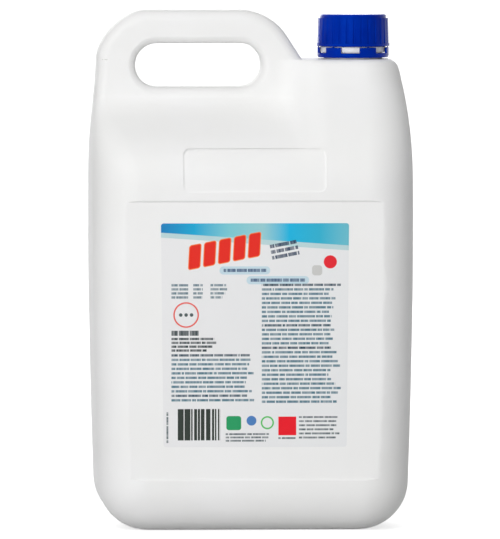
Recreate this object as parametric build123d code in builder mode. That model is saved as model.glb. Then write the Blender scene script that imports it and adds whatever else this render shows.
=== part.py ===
from build123d import *
from math import cos, radians, sin, sqrt, tan
import os

# A five-litre blow-moulded bottle with an integral handle, a screw cap and a front label.
# Millimetres. Origin at the centre of the base, +Z up, the label faces -Y.

# Body
belly_half_width = 95.3
body_half_depth = 62.0
belly_z = 190.0
side_draw = 4.3
plan_corner = 28.0
base_round = 28.0
wall = 1.2

# Shoulder, from the straight body up to the handle and to the neck's deck
shoulder_z = 200.0
handle_foot_z = 257.0
deck_z = 278.6
deck_half_depth = 27.5
deck_half_width = 86.8
deck_corner = 23.0
deck_round = 5.0
valley_left_x = 14.0
valley_right_x = 46.0

# Handle
handle_top_z = 307.9
handle_left_x = -91.6
handle_half_depth = 17.0
handle_round = 6.5
handle_crown_x = -62.0
handle_crown_ease = 13.0
handle_nose_x = -6.5
handle_nose_radius = 33.0
handle_slope_deg = 57.0
grip_x = -31.25
grip_z = 275.3
grip_length = 75.3
grip_height = 25.8
rim_overlap = 0.3

# Base and panels
base_push_up = 3.0
base_ring_width = 7.0
panel_low_z = 30.5
panel_high_z = 196.5
panel_depth = 1.2
pocket_width = 84.6
pocket_low_z = 201.5
pocket_high_z = 227.0
pocket_depth = 0.8
pocket_corner = 4.0

# Neck
neck_x = 61.45
neck_bore_radius = 15.0
neck_radius = 17.4
rim_z = 302.0
rim_round = 0.6
ring_low_z = 282.7
ring_high_z = 285.9
ring_radius = 19.4
thread_lead = 4.2
thread_turns = 1.6
thread_height = 1.0
thread_base_width = 1.8
thread_tip_width = 0.9
thread_root = 0.3
neck_thread_z = 292.5

# Cap
thread_gap = 0.5
skirt_low_z = 286.3
skirt_high_z = 303.0
cap_top_z = 305.4
cap_top_thickness = 1.8
cap_foot_radius = 21.25
cap_head_radius = 20.85
cap_crown_radius = 19.7
cap_crown_round = 1.4
bead_radius = 21.75
bead_height = 1.7
groove_count = 30
groove_radius = 0.8
groove_depth = 0.7
groove_phase_deg = -91.0
seat_gap = 0.1

# Tamper band
band_low_z = 279.6
band_high_z = 285.6
band_outer_radius = 21.3
band_wall = 1.3
window_low_z = 282.2
window_count = 6
window_span_deg = 31.0
window_phase_deg = -97.8
bridge_width = 1.0
bridge_gap = 0.25
lip_reach = 1.4
lip_height = 1.1

# Label
label_low_z = 50.5
label_high_z = 183.0
label_top_half_width = 55.7
label_foot_half_width = 54.3
label_thickness = 0.15
label_corner = 1.6


def ease(t):
    """Rise from 0 to 1 with level ends."""
    t = min(max(t, 0), 1)
    return t * t * (3 - 2 * t)


def quarter_round(radius, reach):
    """Inset of a quarter round of this radius, at this distance past its start."""
    part_way = min(max(reach / radius, 0), 1)
    return radius * (1 - sqrt(1 - part_way * part_way))


def half_widths(z):
    """The body's reach to the left and to the right at height z."""
    if z < belly_z:
        reach = belly_half_width - side_draw * ((belly_z - z) / belly_z) ** 2
        return reach, reach
    rise = (z - belly_z) / (deck_z - belly_z)
    left = belly_half_width - (belly_half_width + handle_left_x) * ease(rise**2)
    right = belly_half_width - (belly_half_width - deck_half_width) * rise**3
    return left, right


def body_section(z, inset):
    """One level of the body: the handle's side is thin, the neck's side stays deep."""
    left, right = half_widths(z)
    to_handle = ease(max(z - shoulder_z, 0) ** 1.7 / (handle_foot_z - shoulder_z) ** 1.7)
    to_deck = ease(max(z - shoulder_z, 0) ** 1.3 / (deck_z - shoulder_z) ** 1.3)
    thin = body_half_depth - (body_half_depth - handle_half_depth) * to_handle
    deep = body_half_depth - (body_half_depth - deck_half_depth) * to_deck
    thin_corner = plan_corner - (plan_corner - handle_round) * to_handle
    deep_corner = plan_corner - (plan_corner - deck_corner) * to_deck
    tuck = inset + quarter_round(base_round, base_round - z)
    roll = tuck + quarter_round(deck_round, z - deck_z + deck_round)
    thin_corner -= inset + 0.85 * (tuck - inset)
    deep_corner -= inset + 0.85 * (roll - inset)
    left -= tuck
    thin -= tuck
    right -= roll
    deep -= roll
    bend = 1 - sqrt(0.5)
    valley_x = (valley_left_x + valley_right_x) / 2
    with BuildSketch(Plane.XY.offset(z + inset * (1 - 2 * z / deck_z))) as section:
        with BuildLine():
            Line((-left, 0), (-left, thin_corner - thin))
            ThreePointArc(
                (-left, thin_corner - thin),
                (bend * thin_corner - left, bend * thin_corner - thin),
                (thin_corner - left, -thin),
            )
            Line((thin_corner - left, -thin), (valley_left_x, -thin))
            Bezier(
                (valley_left_x, -thin), (valley_x, -thin), (valley_x, -deep), (valley_right_x, -deep)
            )
            Line((valley_right_x, -deep), (right - deep_corner, -deep))
            ThreePointArc(
                (right - deep_corner, -deep),
                (right - bend * deep_corner, bend * deep_corner - deep),
                (right, deep_corner - deep),
            )
            Line((right, deep_corner - deep), (right, 0))
            mirror(about=Plane.XZ)
        make_face()
    return section.sketch


def body_levels():
    """Heights of the sections: close together in the base's and the deck's rounds."""
    base = [base_round * (1 - sin(radians(angle))) for angle in (90, 80, 68, 54, 40, 26, 13, 0)]
    sides = [base_round + (shoulder_z - base_round) * share for share in (0.04, 0.12, 0.3, 0.55, 0.8, 1)]
    slope = [shoulder_z + (handle_foot_z - shoulder_z) * step / 8 for step in range(1, 9)]
    grip_side = [handle_foot_z + (deck_z - deck_round - handle_foot_z) * share for share in (0.1, 0.3, 0.6)]
    crest = [deck_z - deck_round * share for share in (1, 0.5, 0.2, 0.05, 0)]
    return base + sides + slope + grip_side + crest


def grip_plug(inset):
    """What the grip hole takes away: a stadium bar that flares into the rounded rims."""
    depth = handle_half_depth + rim_overlap - inset
    with BuildPart() as frame:
        Box(2 * grip_length, 2 * depth, 2 * grip_height)
        with BuildSketch(Plane.XZ):
            SlotOverall(grip_length + 2 * inset, grip_height + 2 * inset)
        extrude(amount=depth, both=True, mode=Mode.SUBTRACT)
        rims = frame.faces().sort_by(Axis.Y)[0].inner_wires()[0].edges()
        rims += frame.faces().sort_by(Axis.Y)[-1].inner_wires()[0].edges()
        fillet(rims, handle_round - inset)
    with BuildPart(Plane.XY.move(Location((grip_x, 0, grip_z)))) as plug:
        Box(2 * grip_length, 2 * depth, 2 * grip_height)
        add(frame.part, mode=Mode.SUBTRACT)
    return plug.solids().sort_by(SortBy.VOLUME)[-1]


def handle_bow(inset):
    """The handle above the deck's level, with rounded edges front and back."""
    floor_z = deck_z - inset
    top_z = handle_top_z - inset
    left_x = handle_left_x + inset
    nose_z = handle_top_z - handle_nose_radius
    radius = handle_nose_radius - inset
    turn = radians(handle_slope_deg)
    tip = (handle_nose_x + radius * sin(turn), nose_z + radius * cos(turn))
    halfway = (handle_nose_x + radius * sin(turn / 2), nose_z + radius * cos(turn / 2))
    foot = (tip[0] + (tip[1] - floor_z) / tan(turn), floor_z)
    with BuildPart() as bow:
        with BuildSketch(Plane.XZ):
            with BuildLine():
                Bezier(
                    (left_x, floor_z),
                    (left_x, floor_z + handle_crown_ease),
                    (handle_crown_x - handle_crown_ease, top_z),
                    (handle_crown_x, top_z),
                )
                Line((handle_crown_x, top_z), (handle_nose_x, top_z))
                ThreePointArc((handle_nose_x, top_z), halfway, tip)
                Line(tip, foot)
                Line(foot, (left_x, floor_z))
            make_face()
        extrude(amount=handle_half_depth - inset, both=True)
        sides = bow.faces().sort_by(Axis.Y)
        outline = sides[0].edges().sort_by(Axis.Z)[1:] + sides[-1].edges().sort_by(Axis.Z)[1:]
        fillet(outline, handle_round - inset)
    return bow.part


def body_loft(inset):
    """The body and its shoulder up to the deck, without the handle's bow."""
    with BuildPart() as body:
        for z in body_levels():
            add(body_section(z, inset))
        loft()
    return body.part


def panel_cut(side, inset):
    """The shallow label panel across the front (side -1) or the back (side 1)."""
    floor_y = body_half_depth - inset - panel_depth
    clear_y = floor_y + 2 * panel_depth
    with BuildPart() as cut:
        with BuildSketch(Plane.YZ):
            with BuildLine():
                Polyline(
                    (side * floor_y, panel_low_z + panel_depth),
                    (side * floor_y, panel_high_z - panel_depth),
                    (side * clear_y, panel_high_z + panel_depth),
                    (side * clear_y, panel_low_z - panel_depth),
                    close=True,
                )
            make_face()
        extrude(amount=belly_half_width, both=True)
    return cut.part


def pocket_cut(inset):
    """The shallow rounded rectangle pressed into the front of the shoulder."""
    height = pocket_high_z - pocket_low_z
    with BuildPart() as cut:
        with BuildSketch(Plane.XZ):
            with Locations((0, (pocket_low_z + pocket_high_z) / 2)):
                RectangleRounded(pocket_width, height, pocket_corner)
        extrude(amount=body_half_depth + wall)
        add(body_loft(inset + pocket_depth), mode=Mode.SUBTRACT)
    return cut.part


def base_cut(inset):
    """The push-up that leaves the bottle standing on a ring round its base."""
    margin = base_ring_width + base_round - inset * sqrt(2)
    half_width = belly_half_width - side_draw - margin
    half_depth = body_half_depth - margin
    with BuildPart() as cut:
        with BuildSketch():
            RectangleRounded(2 * half_width, 2 * half_depth, half_depth / 2)
        extrude(amount=base_push_up + inset, taper=45)
    return cut.part


def body_form(inset):
    """Body, shoulder and handle in one, shrunk all round by inset."""
    with BuildPart() as form:
        add(body_loft(inset))
        add(handle_bow(inset))
        add(grip_plug(inset), mode=Mode.SUBTRACT)
        add(panel_cut(-1, inset), mode=Mode.SUBTRACT)
        add(panel_cut(1, inset), mode=Mode.SUBTRACT)
        add(pocket_cut(inset), mode=Mode.SUBTRACT)
        add(base_cut(inset), mode=Mode.SUBTRACT)
    return form.part


def thread_ridge(radius, start_z, inward):
    """One helical ridge on a wall of this radius, standing outwards or inwards."""
    side = -1 if inward else 1
    with BuildPart() as ridge:
        with BuildLine():
            path = Helix(thread_lead, thread_lead * thread_turns, radius, center=(neck_x, 0, start_z))
        with BuildSketch(Plane(origin=path @ 0, x_dir=(1, 0, 0), z_dir=path % 0)):
            with BuildLine():
                Polyline(
                    (-side * thread_root, -thread_base_width / 2),
                    (side * thread_height, -thread_tip_width / 2),
                    (side * thread_height, thread_tip_width / 2),
                    (-side * thread_root, thread_base_width / 2),
                    close=True,
                )
            make_face()
        sweep(is_frenet=True)
    return ridge.part


os.makedirs("parts", exist_ok=True)
neck_plane = Plane((neck_x, 0, 0))
neck_axis = Axis((neck_x, 0, 0), (0, 0, 1))

# Bottle: the outer form less its cavity, and the neck's tube with its ring and thread
with BuildPart() as bottle:
    add(body_form(0))
    add(body_form(wall), mode=Mode.SUBTRACT)
    with BuildSketch(neck_plane.offset(deck_z - 2 * wall)):
        Circle(neck_bore_radius)
    extrude(amount=3 * wall, mode=Mode.SUBTRACT)
    with BuildSketch(Plane.XZ) as neck_profile:
        with Locations((neck_x + (neck_bore_radius + neck_radius) / 2, (deck_z + rim_z - wall / 2) / 2)):
            Rectangle(neck_radius - neck_bore_radius, rim_z - deck_z + wall / 2)
        fillet(neck_profile.vertices().group_by(Axis.Z)[-1], rim_round)
        with Locations((neck_x + (neck_bore_radius + ring_radius) / 2, (ring_low_z + ring_high_z) / 2)):
            Rectangle(ring_radius - neck_bore_radius, ring_high_z - ring_low_z)
    revolve(axis=neck_axis)
    add(thread_ridge(neck_radius, neck_thread_z, False))
bottle.part.label = "bottle"
export_step(bottle.part, "parts/bottle.step")

# Screw cap: a revolved shell with grooves round its skirt and a thread inside
inner_radius = neck_radius + thread_height + thread_gap
inner_top_z = cap_top_z - cap_top_thickness
with BuildPart() as cap:
    with BuildSketch(Plane.XZ):
        with BuildLine():
            Polyline(
                (neck_x, cap_top_z),
                (neck_x + cap_crown_radius, cap_top_z),
                (neck_x + cap_crown_radius, skirt_high_z),
                (neck_x + cap_head_radius, skirt_high_z),
                (neck_x + cap_foot_radius, skirt_low_z + bead_height),
                (neck_x + bead_radius, skirt_low_z + bead_height),
                (neck_x + bead_radius, skirt_low_z),
                (neck_x + inner_radius, skirt_low_z),
                (neck_x + inner_radius, inner_top_z),
                (neck_x, inner_top_z),
                close=True,
            )
        make_face()
    revolve(axis=neck_axis)
    crown_edge = cap.edges().filter_by(GeomType.CIRCLE).group_by(Axis.Z)[-1]
    fillet(crown_edge, cap_crown_round)
    with BuildSketch(neck_plane.offset(skirt_low_z + bead_height)):
        with PolarLocations(cap_foot_radius + groove_radius - groove_depth, groove_count, groove_phase_deg):
            Circle(groove_radius)
    extrude(amount=cap_top_z - skirt_low_z, mode=Mode.SUBTRACT)
    add(thread_ridge(inner_radius, neck_thread_z - thread_lead / 2, True))
cap.part.label = "cap"
export_step(cap.part, "parts/cap.step")

# Sealing wad: a disc held between the rim and the cap's top
with BuildPart() as sealing_wad:
    with BuildSketch(neck_plane.offset(rim_z + seat_gap)):
        Circle(inner_radius - thread_gap)
    extrude(amount=inner_top_z - rim_z - 2 * seat_gap)
sealing_wad.part.label = "sealing_wad"
export_step(sealing_wad.part, "parts/sealing_wad.step")

# Tamper band: a ring with windows, an inner lip and the stubs of its bridges
band_inner_radius = band_outer_radius - band_wall
window_reach = 2 * band_outer_radius
with BuildPart() as tamper_band:
    with BuildSketch(Plane.XZ):
        with BuildLine():
            Polyline(
                (neck_x + band_inner_radius, band_low_z),
                (neck_x + band_outer_radius - band_wall / 3, band_low_z),
                (neck_x + band_outer_radius, band_low_z + band_wall),
                (neck_x + band_outer_radius, band_high_z),
                (neck_x + band_inner_radius, band_high_z),
                (neck_x + band_inner_radius, window_low_z),
                (neck_x + band_inner_radius - lip_reach, window_low_z),
                (neck_x + band_inner_radius, window_low_z - lip_height),
                close=True,
            )
        make_face()
    revolve(axis=neck_axis)
    half_span = radians(window_span_deg / 2)
    window_edge = (window_reach * cos(half_span), window_reach * sin(half_span))
    with BuildSketch(neck_plane.offset(window_low_z)):
        with PolarLocations(0, window_count, window_phase_deg):
            Polygon((0, 0), window_edge, (window_edge[0], -window_edge[1]), align=None)
        Circle(band_inner_radius, mode=Mode.SUBTRACT)
    extrude(amount=band_high_z - window_low_z, mode=Mode.SUBTRACT)
    with BuildSketch(neck_plane.offset(band_high_z)):
        middle_radius = band_outer_radius - band_wall / 2
        with PolarLocations(middle_radius, window_count, window_phase_deg + 180 / window_count):
            Rectangle(band_wall / 2, bridge_width)
    extrude(amount=skirt_low_z - band_high_z - bridge_gap)
tamper_band.part.label = "tamper_band"
export_step(tamper_band.part, "parts/tamper_band.step")

# Label: a thin sheet on the floor of the front panel, a little narrower at its foot
label_plane = Plane.XZ.offset(body_half_depth - panel_depth)
with BuildPart() as label:
    with BuildSketch(label_plane) as sheet:
        Polygon(
            (-label_foot_half_width, label_low_z),
            (label_foot_half_width, label_low_z),
            (label_top_half_width, label_high_z),
            (-label_top_half_width, label_high_z),
            align=None,
        )
        fillet(sheet.vertices(), label_corner)
    extrude(amount=label_thickness)
label.part.label = "label"
export_step(label.part, "parts/label.step")
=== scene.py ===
# %% [markdown]
# # A large white bottle with a blue screw cap
#
# The solids of this bottle come from a finished mechanical model: the blown bottle, its cap, the
# tamper band, the sealing wad and the label. This lesson gives them their looks: the soft sheen of
# blown plastic, the smooth gloss of the cap and the print on the label.
# Everything is in metres. The bottle stands on z = 0, and its label faces the negative y axis.

# %% Load the bottle's solids
from math import cos, radians, sin, tan

import bpy
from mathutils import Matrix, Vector


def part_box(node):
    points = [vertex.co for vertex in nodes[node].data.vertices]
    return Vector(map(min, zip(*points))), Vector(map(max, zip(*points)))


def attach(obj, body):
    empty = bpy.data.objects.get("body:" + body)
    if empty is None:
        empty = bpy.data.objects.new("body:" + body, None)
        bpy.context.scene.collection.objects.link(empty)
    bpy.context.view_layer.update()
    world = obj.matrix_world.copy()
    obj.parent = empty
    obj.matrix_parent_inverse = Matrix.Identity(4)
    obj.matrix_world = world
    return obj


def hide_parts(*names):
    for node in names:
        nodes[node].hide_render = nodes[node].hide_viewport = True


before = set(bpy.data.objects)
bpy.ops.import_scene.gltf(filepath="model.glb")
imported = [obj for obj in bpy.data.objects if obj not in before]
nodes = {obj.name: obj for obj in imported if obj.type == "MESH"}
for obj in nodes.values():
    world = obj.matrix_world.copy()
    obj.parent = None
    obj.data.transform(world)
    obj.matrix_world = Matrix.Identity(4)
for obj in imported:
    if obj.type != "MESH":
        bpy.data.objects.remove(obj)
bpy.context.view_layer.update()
bpy.ops.object.select_all(action="DESELECT")

# %% [markdown]
# ## Where the camera stands
#
# The picture was taken from the front with a long lens, a little to the left of the bottle and a
# little above its middle. The picture is 500 pixels wide and 539 tall, and one pixel is 0.596 mm at
# the bottle, so a lens is chosen that shows exactly that width from eight metres away. A long lens
# keeps the bottle's sides straight, where a short one would make them lean.

# %% Place the camera
picture_width = 500
pixel_size = 0.000596
camera_distance = 8.0
camera_left_deg = 2.8
camera_up_deg = 2.5
aim = Vector((0.0, 0.0, 0.1530))

camera_data = bpy.data.cameras.new("camera")
camera = bpy.data.objects.new("camera", camera_data)
bpy.context.scene.collection.objects.link(camera)
camera_data.sensor_fit = "HORIZONTAL"
camera_data.lens = camera_data.sensor_width * camera_distance / (picture_width * pixel_size)
camera_data.clip_end = 100.0
backwards = Vector((
    -sin(radians(camera_left_deg)) * cos(radians(camera_up_deg)),
    -cos(radians(camera_left_deg)) * cos(radians(camera_up_deg)),
    sin(radians(camera_up_deg)),
))
camera.location = aim + backwards * camera_distance
camera.rotation_euler = backwards.to_track_quat("Z", "Y").to_euler()
bpy.context.scene.camera = camera
print("lens of", round(camera_data.lens), "mm at", tuple(round(c, 3) for c in camera.location))

# %% [markdown]
# ## A short way to write a material
#
# A material is a graph of nodes. Written out link by link it soon hides what it says, so one small
# class wraps a socket and lets ordinary arithmetic add the Math nodes. Any other node comes from
# its one method, node, which takes the settings first and then what goes into each socket.

# %% The class that wraps a socket
class Flow:
    """A value that varies over a surface: one output socket of a material's graph."""

    def __init__(self, tree, socket=None):
        self.tree = tree
        self.socket = socket

    def node(self, kind, inputs, output=0, stops=None, step_between=False, **settings):
        """Add a node with its settings, fill or link its sockets, and give one of its outputs."""
        made = self.tree.nodes.new(kind)
        for name, value in settings.items():
            setattr(made, name, value)
        if stops:
            ramp = made.color_ramp
            ramp.interpolation = "CONSTANT" if step_between else "LINEAR"
            while len(ramp.elements) < len(stops):
                ramp.elements.new(1.0)
            for element, (place, colour) in zip(ramp.elements, stops):
                element.position = place
                element.color = colour
        for name, value in inputs.items():
            if isinstance(value, Flow):
                self.tree.links.new(value.socket, made.inputs[name])
            else:
                made.inputs[name].default_value = value
        return Flow(self.tree, made.outputs[output])

    def math(self, operation, first, second=0.0, third=0.0):
        return self.node("ShaderNodeMath", {0: first, 1: second, 2: third}, operation=operation)

    def __add__(self, other):
        return self.math("ADD", self, other)

    def __radd__(self, other):
        return self.math("ADD", other, self)

    def __sub__(self, other):
        return self.math("SUBTRACT", self, other)

    def __rsub__(self, other):
        return self.math("SUBTRACT", other, self)

    def __mul__(self, other):
        return self.math("MULTIPLY", self, other)

    def __rmul__(self, other):
        return self.math("MULTIPLY", other, self)

    def __truediv__(self, other):
        return self.math("DIVIDE", self, other)

    def __gt__(self, other):
        return self.math("GREATER_THAN", self, other)

    def __lt__(self, other):
        return self.math("LESS_THAN", self, other)

    def __abs__(self):
        return self.math("ABSOLUTE", self)

    def floor(self):
        return self.math("FLOOR", self)

    def within(self, low, high):
        """1 between two limits and 0 elsewhere."""
        return (self > low) * (self < high)

    def fade(self, low, high):
        """Rises smoothly from 0 at low to 1 at high."""
        return self.node(
            "ShaderNodeMapRange",
            {"Value": self, "From Min": low, "From Max": high},
            interpolation_type="SMOOTHSTEP",
        )

    def blend(self, under, over):
        """The colour under where this is 0, and over where it is 1."""
        return self.node("ShaderNodeMix", {0: self, 6: under, 7: over}, output=2, data_type="RGBA")

    def part(self, axis):
        """One of a vector's three values: X, Y or Z."""
        return self.node("ShaderNodeSeparateXYZ", {0: self}, output=axis)


def linear(red, green, blue):
    """A colour given as it looks on the screen, from 0 to 255, as a shader needs it."""
    parts = []
    for level in (red, green, blue):
        share = level / 255
        parts.append(share / 12.92 if share <= 0.04045 else ((share + 0.055) / 1.055) ** 2.4)
    return (*parts, 1.0)


def start_finish(name):
    """A new material with one Principled shader: returns the material, the shader and a Flow."""
    material = bpy.data.materials.new(name)
    material.use_nodes = True
    tree = material.node_tree
    shader = tree.nodes["Principled BSDF"]
    print("finish", name)
    return material, shader, Flow(tree)


def connect(value, shader, socket):
    """Feed a shader's socket from a Flow."""
    value.tree.links.new(value.socket, shader.inputs[socket])


def point_on(flow):
    """The point on the piece, in metres."""
    return flow.node("ShaderNodeTexCoord", {}, output="Object")


print("a Flow adds, subtracts, multiplies, divides and compares by itself")


# %% [markdown]
# ## Blown white plastic
#
# The bottle is blown from a tube of white polyethylene in a mould of two halves. Its skin is
# neither glossy nor matt. It shows a faint unevenness where the plastic cooled, a very fine grain
# from the blasted mould, and a hair-thin line all round where the halves met, on the plane y = 0.
# All of that is shallow, so it goes into a Bump node and the roughness, and the shape stays as it is.

# %% Finish of the bottle
def bottle_finish():
    material, shader, flow = start_finish("white_blown_plastic")
    point = point_on(flow)
    cloudy = flow.node("ShaderNodeTexNoise", {"Vector": point, "Scale": 14.0, "Detail": 3.0})
    grain = flow.node("ShaderNodeTexNoise", {"Vector": point, "Scale": 1400.0, "Detail": 2.0})
    waves = flow.node("ShaderNodeTexNoise", {"Vector": point, "Scale": 38.0, "Detail": 1.0})
    seam = 1.0 - abs(point.part("Y")).fade(0.0001, 0.0004)
    clean_white = linear(242, 242, 242)
    warm_white = linear(240, 240, 239)
    colour = cloudy.fade(0.35, 0.65).blend(clean_white, warm_white)
    connect(colour, shader, "Base Color")
    connect(0.46 + cloudy * 0.06 + grain * 0.05, shader, "Roughness")
    shader.inputs["Specular IOR Level"].default_value = 0.25
    grain_height = 0.00001
    wave_height = 0.00006
    seam_height = 0.00012
    height = grain * grain_height + waves * wave_height + seam * seam_height
    bump = flow.node("ShaderNodeBump", {"Height": height, "Strength": 0.6, "Distance": 1.0})
    connect(bump, shader, "Normal")
    return material


# %% [markdown]
# ## Moulded blue plastic
#
# The cap and its tamper band are moulded from polypropylene and are much glossier than the bottle.
# The colour is a deep, saturated blue. Fine scuffs from handling break up the gloss a little. The
# gloss itself is kept weak and tinted blue, or the white room would turn the ribs at the sides grey.

# %% Finish of the cap and the band
def cap_finish():
    material, shader, flow = start_finish("blue_moulded_plastic")
    point = point_on(flow)
    cloudy = flow.node("ShaderNodeTexNoise", {"Vector": point, "Scale": 60.0, "Detail": 4.0})
    scuffs = flow.node("ShaderNodeTexNoise", {"Vector": point, "Scale": 900.0, "Detail": 3.0})
    colour = cloudy.fade(0.3, 0.7).blend(linear(0, 38, 152), linear(0, 47, 166))
    connect(colour, shader, "Base Color")
    connect(0.2 + scuffs * 0.1, shader, "Roughness")
    shader.inputs["Specular IOR Level"].default_value = 0.16
    shader.inputs["Specular Tint"].default_value = linear(40, 110, 255)
    height = scuffs * 0.00001
    bump = flow.node("ShaderNodeBump", {"Height": height, "Strength": 0.4, "Distance": 1.0})
    connect(bump, shader, "Normal")
    return material


# %% [markdown]
# ## The sealing wad
#
# A disc of closed-cell foam sits inside the cap. It shows only from below, when the cap is lifted.
# Foam is matt, and its cells give it a fine pebbled skin.

# %% Finish of the wad
def wad_finish():
    material, shader, flow = start_finish("white_foam")
    cells = flow.node("ShaderNodeTexVoronoi", {"Vector": point_on(flow), "Scale": 2200.0})
    colour = cells.fade(0.0, 0.6).blend(linear(222, 222, 218), linear(236, 236, 233))
    connect(colour, shader, "Base Color")
    connect(0.75 + cells * 0.1, shader, "Roughness")
    height = cells * 0.00005
    bump = flow.node("ShaderNodeBump", {"Height": height, "Strength": 0.5, "Distance": 1.0})
    connect(bump, shader, "Normal")
    return material


# %% [markdown]
# ## The printed label
#
# The label is one thin sheet of film. Its print is made of fields of colour and simple shapes,
# measured in millimetres from the middle of the label's lower edge. Each shape is a mask that is 1
# inside and 0 outside, and the masks are laid over one another from the ground up, as a printer
# lays inks. A Sheet holds the two coordinates that the masks are cut from, so that a tilted piece of
# the print is just a sheet that has been turned and slanted.

# %% Masks on a sheet of print
class Sheet:
    """Two coordinates on the label, in millimetres, and the masks that are cut from them."""

    def __init__(self, flow, across, up):
        self.flow = flow
        self.across = across
        self.up = up

    def turned(self, middle_across, middle_up, turn_deg, slant_deg=0.0):
        """The same sheet measured from another middle, turned and slanted like italic type."""
        turn = radians(turn_deg)
        along = self.across - middle_across
        above = self.up - middle_up
        up = above * cos(turn) - along * sin(turn)
        across = along * cos(turn) + above * sin(turn) - up * tan(radians(slant_deg))
        return Sheet(self.flow, across, up)

    def bar(self, left, right, foot, head, soft=0.15):
        """A rectangle with slightly soft edges."""
        past_right = self.across.fade(right - soft, right + soft)
        past_head = self.up.fade(head - soft, head + soft)
        wide = self.across.fade(left - soft, left + soft) * (1.0 - past_right)
        tall = self.up.fade(foot - soft, foot + soft) * (1.0 - past_head)
        return wide * tall

    def pill(self, left, right, foot, head, corner, soft=0.15):
        """A rectangle with round corners, from its distance to a smaller one inside it."""
        beyond_x = abs(self.across - (left + right) / 2) - ((right - left) / 2 - corner)
        beyond_z = abs(self.up - (foot + head) / 2) - ((head - foot) / 2 - corner)
        out_x = self.flow.math("MAXIMUM", beyond_x, 0.0)
        out_z = self.flow.math("MAXIMUM", beyond_z, 0.0)
        away = self.flow.math("SQRT", out_x * out_x + out_z * out_z)
        return 1.0 - away.fade(corner - soft, corner + soft)

    def disc(self, across, up, radius):
        """A pill as wide and tall as its corners are round."""
        return self.pill(across - radius, across + radius, up - radius, up + radius, radius)

    def ring(self, across, up, radius, line):
        """A disc without the smaller disc inside its line."""
        inner = self.disc(across, up, radius - line)
        return self.disc(across, up, radius) * (1.0 - inner)


print("a sheet cuts bars, pills, discs and rings")

# %% [markdown]
# ## Rows of small print
#
# Small print can't be read at this distance: it is a rhythm of short dashes. Each row is cut into
# spans of seven letters, and a hash of the span says which letter of it is left out, so that words
# of uneven length follow one another. A hash of the letter varies the ink a little, and one of the
# row pulls its right end in. The sides, the top and the number of rows may be Flows as well, so that
# two columns can share one grid.

# %% Dashes in rows
letter_width = 0.95
word_span = 7.0
half_gap = 0.3
row_step = 2.66
word_seed = 211.0
ink_seed = 97.0
edge_seed = 13.7


def hashed(number):
    """A number from 0 to 1 that looks random, and is always the same for the same input."""
    return number.node("ShaderNodeTexWhiteNoise", {"W": number}, noise_dimensions="1D")


def small_print(sheet, left, right, top, rows, step=row_step, thick=1.4, ragged=0.16):
    """A mask of rows of dashes between left and right, from top downwards."""
    line = (top - sheet.up) / step
    row = line.floor()
    stroke = (line - row) < thick / step
    letter = (sheet.across - left) / letter_width
    span = (letter / word_span).floor()
    space = hashed(span + row * word_seed + left) * (word_span - 1.0)
    into_span = letter - span * word_span
    word = abs(into_span - space - 0.5) > half_gap
    shade = 0.7 + hashed(letter.floor() + row * ink_seed) * 0.3
    row_right = right - hashed(row * edge_seed + left) * ((right - left) * ragged)
    wide = (sheet.across > left) * (sheet.across < row_right)
    tall = abs(row - (rows - 1) / 2) < rows / 2
    return stroke * word * shade * wide * tall


print("letters are", letter_width, "mm wide, and rows", row_step, "mm apart")

# %% [markdown]
# ## The header band
#
# Across the top runs a slanting band that goes from deep blue through cyan to a pale teal, with a
# paler stripe under it. A printer would blend the inks from one to the next, so the band takes its
# colour from a ramp across the label, and two tilted edges cut it off.

# %% Header band
half_label = 56.0
band_tilt_deg = -4.0
stripe_foot = -12.2
band_foot = -9.3
edge_soft = 0.15


def print_header(sheet, colour, tall):
    """Two slanted stripes across the top: blue to cyan to teal, and a paler one below."""
    share = (sheet.across + half_label) / (2.0 * half_label)
    stops = (
        (0.0, linear(0, 122, 186)),
        (0.18, linear(0, 164, 210)),
        (0.36, linear(120, 200, 212)),
        (0.54, linear(150, 204, 210)),
        (0.68, linear(0, 178, 222)),
        (0.84, linear(40, 174, 206)),
        (1.0, linear(108, 188, 204)),
    )
    band_ink = sheet.flow.node("ShaderNodeValToRGB", {"Fac": share}, stops=stops)
    slanted = sheet.turned(0.0, tall, band_tilt_deg)
    stripe = slanted.up.fade(stripe_foot - edge_soft, stripe_foot + edge_soft)
    band = slanted.up.fade(band_foot - edge_soft, band_foot + edge_soft)
    colour = stripe.blend(colour, linear(186, 214, 217))
    return band.blend(colour, band_ink)


print("the header band is tilted by", band_tilt_deg, "degrees")

# %% [markdown]
# ## The title and its marks
#
# Under the band stand a row of slanted orange-red blocks with a lighter rim, navy print beside them,
# two pale blue strips, and a red and a grey mark. The blocks are alike, so one block is cut on a
# coordinate that starts again at every step, instead of five one after the other.

# %% Title blocks and what stands beside them
block_half_width = 3.3
block_half_height = 6.7
block_rim = 0.5
title_tilt_deg = 11.0


def repeated(sheet, count, step):
    """The sheet with an across that starts again at every step, and a mask of the steps in use."""
    number = (sheet.across / step + count / 2).floor()
    again = sheet.across - (number + (0.5 - count / 2)) * step
    used = abs(number - (count - 1) / 2) < count / 2
    return Sheet(sheet.flow, again, sheet.up), used


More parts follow.
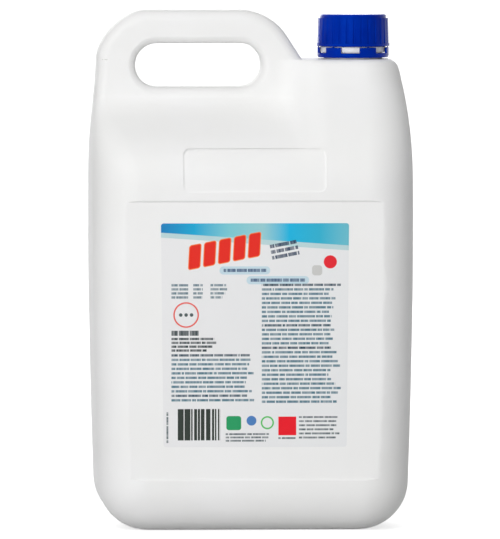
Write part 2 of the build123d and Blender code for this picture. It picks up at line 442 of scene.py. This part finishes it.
def print_title(sheet, colour):
    """A row of slanted blocks, three lines of navy print, two pale strips and two marks."""
    title = sheet.turned(-18.0, 116.2, title_tilt_deg, slant_deg=14.0)
    block, used = repeated(title, count=5, step=9.0)
    wide = block_half_width + block_rim
    tall = block_half_height + block_rim
    outer = block.pill(-wide, wide, -tall, tall, corner=1.6)
    colour = (outer * used).blend(colour, linear(244, 132, 66))
    wide = block_half_width
    tall = block_half_height
    inner = block.pill(-wide, wide, -tall, tall, corner=1.2)
    colour = (inner * used).blend(colour, linear(228, 30, 8))
    beside = sheet.turned(18.0, 116.5, title_tilt_deg)
    navy = small_print(beside, left=-8.6, right=8.6, top=4.9, rows=3, step=3.4, thick=2.1)
    colour = navy.blend(colour, linear(38, 60, 88))
    strip_tall = 4.8
    margin = 2.4
    for left, right, foot in ((-21.0, 9.0, 102.2), (-5.0, 32.0, 96.4)):
        strip = sheet.pill(left, right, foot, foot + strip_tall, corner=2.3)
        colour = strip.blend(colour, linear(196, 218, 228))
        top = foot + 3.4
        words = small_print(sheet, left + margin, right - margin, top, rows=1, thick=1.9, ragged=0.0)
        colour = words.blend(colour, linear(72, 96, 128))
    grey_mark = sheet.pill(left=33.8, right=39.8, foot=101.6, head=107.6, corner=1.8)
    colour = grey_mark.blend(colour, linear(201, 201, 199))
    red_mark = sheet.disc(across=44.6, up=109.6, radius=3.9)
    return red_mark.blend(colour, linear(226, 26, 42))


print("the title's blocks are", 2 * block_half_width, "by", 2 * block_half_height, "mm")

# %% [markdown]
# ## The columns
#
# Two columns of small print fill the middle of the label. They could be two calls, but small print
# takes many nodes, and a material that is too large stops rendering. So both are cut from one grid
# whose sides, top and number of rows change where the right column begins. Over the left one stand a
# small table, a ring with three dots, a heading and a few darker lines.

# %% Columns of small print
between_columns = 3.0
left_column = (-49.5, 2.0, 55.1, 11.0)
right_column = (4.0, 50.9, 96.7, 27.0)
most_rows = right_column[3]
bold_rows = ((0, 1.0), (9, 0.8), (14, 1.0))
print_left = left_column[0]


def bold_mask(sheet, top):
    """How bold each row of the columns is, from a ramp with a step at each bold row."""
    stops = []
    for number, level in bold_rows:
        stops.append((number / most_rows, (level, level, level, 1.0)))
        stops.append(((number + 1) / most_rows, (0.0, 0.0, 0.0, 1.0)))
    row = ((top - sheet.up) / row_step).floor()
    share = (row + 0.5) / most_rows
    return sheet.flow.node("ShaderNodeValToRGB", {"Fac": share}, stops=stops, step_between=True)


def print_columns(sheet, colour):
    """The two columns, with darker headings, and a ring with three dots over the left one."""
    in_right = sheet.across > between_columns
    left, right, top, rows = (
        in_right * (there - here) + here for here, there in zip(left_column, right_column)
    )
    plain = linear(96, 122, 134)
    ink = bold_mask(sheet, top).blend(linear(80, 120, 136), linear(44, 72, 88))
    colour = small_print(sheet, left, right, top, rows).blend(colour, ink)
    table = small_print(sheet, print_left, right=-9.7, top=96.6, rows=4, step=2.4, ragged=0.3)
    first_gap = sheet.across.within(-39.6, -36.6)
    second_gap = sheet.across.within(-31.0, -26.4)
    colour = (table * (1.0 - first_gap) * (1.0 - second_gap)).blend(colour, plain)
    dark = linear(48, 62, 66)
    heading = small_print(sheet, print_left, right=-33.4, top=69.0, rows=1, step=4.0, thick=3.0, ragged=0.0)
    colour = heading.blend(colour, dark)
    lines = small_print(sheet, print_left, right=-9.0, top=64.8, rows=4, step=2.28, ragged=0.6)
    colour = lines.blend(colour, dark)
    around = sheet.turned(-40.8, 78.3, 0.0)
    ring = around.ring(across=0.0, up=0.0, radius=7.6, line=0.9)
    colour = ring.blend(colour, linear(226, 90, 80))
    dot, used = repeated(around, count=3, step=3.2)
    dots = dot.disc(across=0.0, up=0.0, radius=1.05) * used
    return dots.blend(colour, linear(70, 84, 84))


print("the columns have", left_column[3], "and", most_rows, "rows")

# %% [markdown]
# ## The foot of the label
#
# Along the foot are a block of upright bars, three coloured marks, a plain red square and more small
# print. The bars come from two hashes, one of each narrow place and one of each pair, so that thin
# and broad bars mix as they do in such a block, and nothing can be read from them.

# %% Upright bars, marks and print along the foot
bar_width = 0.44
bar_share = 0.34
foot_thick = 1.1


def print_foot(sheet, colour):
    """Bars of two widths from a hash, plain marks, a red square and the last small print."""
    number = (sheet.across / bar_width).floor()
    thin = hashed(number)
    broad = hashed((number / 2.0).floor() + 0.5)
    block = sheet.bar(left=-46.4, right=-20.6, foot=4.0, head=22.6)
    bars = block * (thin * 0.5 + broad * 0.5 > bar_share)
    colour = bars.blend(colour, linear(34, 44, 38))
    green_mark = sheet.pill(left=-17.0, right=-8.2, foot=10.0, head=18.4, corner=1.6)
    colour = green_mark.blend(colour, linear(26, 150, 92))
    blue_mark = sheet.disc(across=-2.1, up=15.6, radius=2.9)
    colour = blue_mark.blend(colour, linear(72, 124, 186))
    green_ring = sheet.ring(across=7.3, up=14.4, radius=3.9, line=0.9)
    colour = green_ring.blend(colour, linear(78, 188, 88))
    red_square = sheet.bar(left=13.8, right=24.4, foot=6.9, head=18.0)
    colour = red_square.blend(colour, linear(232, 0, 30))
    upright = sheet.turned(-51.9, 12.0, 90.0)
    prints = (
        small_print(sheet, left=-17.4, right=9.3, top=8.2, rows=3, step=1.95, thick=foot_thick),
        small_print(sheet, left=26.0, right=50.3, top=18.2, rows=6, step=2.42, thick=foot_thick),
        small_print(sheet, left=13.8, right=24.0, top=5.8, rows=1, thick=foot_thick, ragged=0.0),
        small_print(upright, left=-9.5, right=9.5, top=0.55, rows=1, thick=foot_thick),
    )
    for words in prints:
        colour = words.blend(colour, linear(92, 104, 108))
    return colour


print("the bars are", bar_width, "mm wide or more")

# %% [markdown]
# ## The whole label
#
# The film is a cool, pale white. Its colour carries painted light: it is a touch lighter at its left,
# the side the front lamp lights more. Its print is laid on in order, and its sheen is even, because
# the inks are under the same clear film.

# %% Finish of the label
def label_finish():
    material, shader, flow = start_finish("printed_film")
    low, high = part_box("label")
    millimetres = 1000.0
    point = point_on(flow)
    across = point.part("X") * millimetres
    up = (point.part("Z") - low.z) * millimetres
    sheet = Sheet(flow, across, up)
    # painted light: the film's white goes a touch lighter towards the left, the side the front lamp lights
    # more
    colour = across.fade(-60.0, 60.0).blend(linear(234, 234, 235), linear(232, 233, 234))
    colour = print_header(sheet, colour, (high.z - low.z) * millimetres)
    colour = print_title(sheet, colour)
    colour = print_columns(sheet, colour)
    colour = print_foot(sheet, colour)
    connect(colour, shader, "Base Color")
    shader.inputs["Roughness"].default_value = 0.42
    shader.inputs["Specular IOR Level"].default_value = 0.25
    print("the label's print takes", len(flow.tree.nodes), "nodes")
    return material


# %% [markdown]
# ## Each solid gets its finish
#
# The cap and the tamper band are moulded in one shot, so they share one material. A solid arrives
# with a plain material of its own, which is cleared first.

# %% Give each solid its finish
finishes = {
    "bottle": bottle_finish(),
    "cap": cap_finish(),
    "sealing_wad": wad_finish(),
    "label": label_finish(),
}
finishes["tamper_band"] = finishes["cap"]
for name, material in finishes.items():
    solid = nodes[name]
    solid.data.materials.clear()
    solid.data.materials.append(material)
    print(name, "has", material.name)

# %% [markdown]
# ## One skin for the bottle
#
# A solid from a mechanical model comes as loose triangles, each patch with normals of its own. On
# the real bottle the plastic flows from the handle into the shoulder without a break, so a copy of
# the solid is welded into one skin, and the shading is smoothed wherever the surface turns by less
# than a set angle. Where the handle's two legs meet the shoulder, a ledge as thin as a hair is left
# between two rounds: its edges are smoothed too, and normals weighted by area let the large faces
# beside it decide how it is shaded. The solid itself stays, and the copy stands for it.

# %% Weld and smooth a copy
weld_distance = 0.000001
smooth_deg = 40.0
ledge_heights = (0.2774, 0.2786)
ledge_reach = 0.0002
neck_side = 0.03


def welded_copy(solid, name):
    bpy.ops.object.select_all(action="DESELECT")
    piece = solid.copy()
    piece.data = solid.data.copy()
    piece.name = name
    piece.parent = None
    bpy.context.scene.collection.objects.link(piece)
    bpy.context.view_layer.objects.active = piece
    piece.select_set(True)
    bpy.ops.object.mode_set(mode="EDIT")
    bpy.ops.mesh.select_all(action="SELECT")
    bpy.ops.mesh.customdata_custom_splitnormals_clear()
    bpy.ops.mesh.remove_doubles(threshold=weld_distance)
    bpy.ops.object.mode_set(mode="OBJECT")
    bpy.ops.object.shade_smooth_by_angle(angle=radians(smooth_deg))
    print(name, "has", len(piece.data.polygons), "faces, from", len(solid.data.polygons))
    return piece


def smooth_ledges(piece):
    """Clear the sharp edges of the thin ledges, and weigh the normals by the area of the faces."""
    points = piece.data.vertices
    cleared = 0
    for edge in piece.data.edges:
        ends = [points[index].co for index in edge.vertices]
        level = any(all(abs(end.z - height) < ledge_reach for end in ends) for height in ledge_heights)
        if level and all(end.x < neck_side for end in ends):
            edge.use_edge_sharp = False
            cleared += 1
    weigh = piece.modifiers.new("weigh_normals", "WEIGHTED_NORMAL")
    weigh.mode = "FACE_AREA"
    weigh.keep_sharp = True
    bpy.ops.object.modifier_apply(modifier=weigh.name)
    print(cleared, "edges of the ledges are smooth")


bottle_skin = welded_copy(nodes["bottle"], "bottle_skin")
smooth_ledges(bottle_skin)
bottle_skin.data.materials.clear()
bottle_skin.data.materials.append(finishes["bottle"])
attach(bottle_skin, "bottle")
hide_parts("bottle")

# %% [markdown]
# ## Floor, lights and background
#
# The bottle stands on a plain pale floor. Most of the light comes from one large soft panel, high
# in front, and one above, so surfaces that turn away to the sides or towards the floor go softly
# grey. A weaker panel behind keeps the back white too. The floor and the room are plain white only
# where the camera, a reflection or a see-through surface looks at them, so they add no light to the
# bottle. Near the bottle the floor keeps part of its real shading, so the contact shadow stays.

# %% A mask of the rays that look at the surroundings
def looking(flow):
    """1 for camera, glossy and transmission rays, and 0 for the rays that carry light."""
    camera_ray, glossy_ray, through_ray = (
        flow.node("ShaderNodeLightPath", {}, output=name)
        for name in ("Is Camera Ray", "Is Glossy Ray", "Is Transmission Ray")
    )
    return flow.math("MINIMUM", camera_ray + glossy_ray + through_ray, 1.0)


print("three kinds of ray look at the surroundings")

# %% [markdown]
# ## The floor
#
# It is one large plane. Its glow is weaker within 0.3 m of the bottle and full beyond 1.6 m, and that
# change is too slow to see.

# %% Floor
floor_size = 40.0
floor_grey = 0.65
near_glow = 0.67
far_glow = 1.0
glow_start = 0.3
glow_end = 1.6
white = (1.0, 1.0, 1.0, 1.0)

bpy.ops.mesh.primitive_plane_add(size=floor_size, location=(0.0, 0.0, 0.0))
floor = bpy.context.object
floor.name = "floor"


def floor_finish():
    material, shader, flow = start_finish("pale_floor")
    shader.inputs["Base Color"].default_value = (floor_grey, floor_grey, floor_grey, 1.0)
    shader.inputs["Roughness"].default_value = 0.8
    point = point_on(flow)
    x = point.part("X")
    y = point.part("Y")
    away = flow.math("SQRT", x * x + y * y)
    glow = near_glow + away.fade(glow_start, glow_end) * (far_glow - near_glow)
    lit = Flow(flow.tree, shader.outputs[0])
    shine = flow.node("ShaderNodeEmission", {"Color": white, "Strength": looking(flow) * glow})
    both = flow.node("ShaderNodeAddShader", {0: lit, 1: shine})
    flow.tree.links.new(both.socket, flow.tree.nodes["Material Output"].inputs["Surface"])
    return material


floor.data.materials.append(floor_finish())

# %% [markdown]
# ## The lamps
#
# Each lamp is a rectangle of light that faces the middle of the bottle. Large ones give the soft
# edges of a studio's shades. The front one stands to the left, so the right side goes greyer.

# %% Lights
def soft_panel(name, place, target, size, power):
    data = bpy.data.lights.new(name, "AREA")
    data.shape = "RECTANGLE"
    data.size, data.size_y = size
    data.energy = power
    panel = bpy.data.objects.new(name, data)
    bpy.context.scene.collection.objects.link(panel)
    panel.location = place
    panel.rotation_euler = (Vector(place) - Vector(target)).to_track_quat("Z", "Y").to_euler()
    print(name, "of", power, "W")


middle = (0.0, 0.0, 0.15)
soft_panel("front_panel", (-1.0, -2.6, 1.0), middle, (2.0, 1.4), 53.0)
soft_panel("top_panel", (0.1, -0.3, 1.7), middle, (1.6, 1.2), 6.0)
soft_panel("back_panel", (-0.3, 2.6, 0.9), middle, (2.0, 1.4), 20.0)

# %% [markdown]
# ## The room
#
# The world stands for the white room round the stage. It lights the bottle weakly from all sides,
# and rays that look straight at it see plain white. The colours are shown as they are, with no curve
# laid over them.

# %% World
room_light = 0.22
world = bpy.data.worlds.new("studio")
bpy.context.scene.world = world
world.use_nodes = True
room = Flow(world.node_tree)
background = world.node_tree.nodes["Background"]
background.inputs["Color"].default_value = white
connect(looking(room) * (1.0 - room_light) + room_light, background, "Strength")

bpy.context.scene.view_settings.view_transform = "Standard"
print("the room's light is", room_light, "of its white")
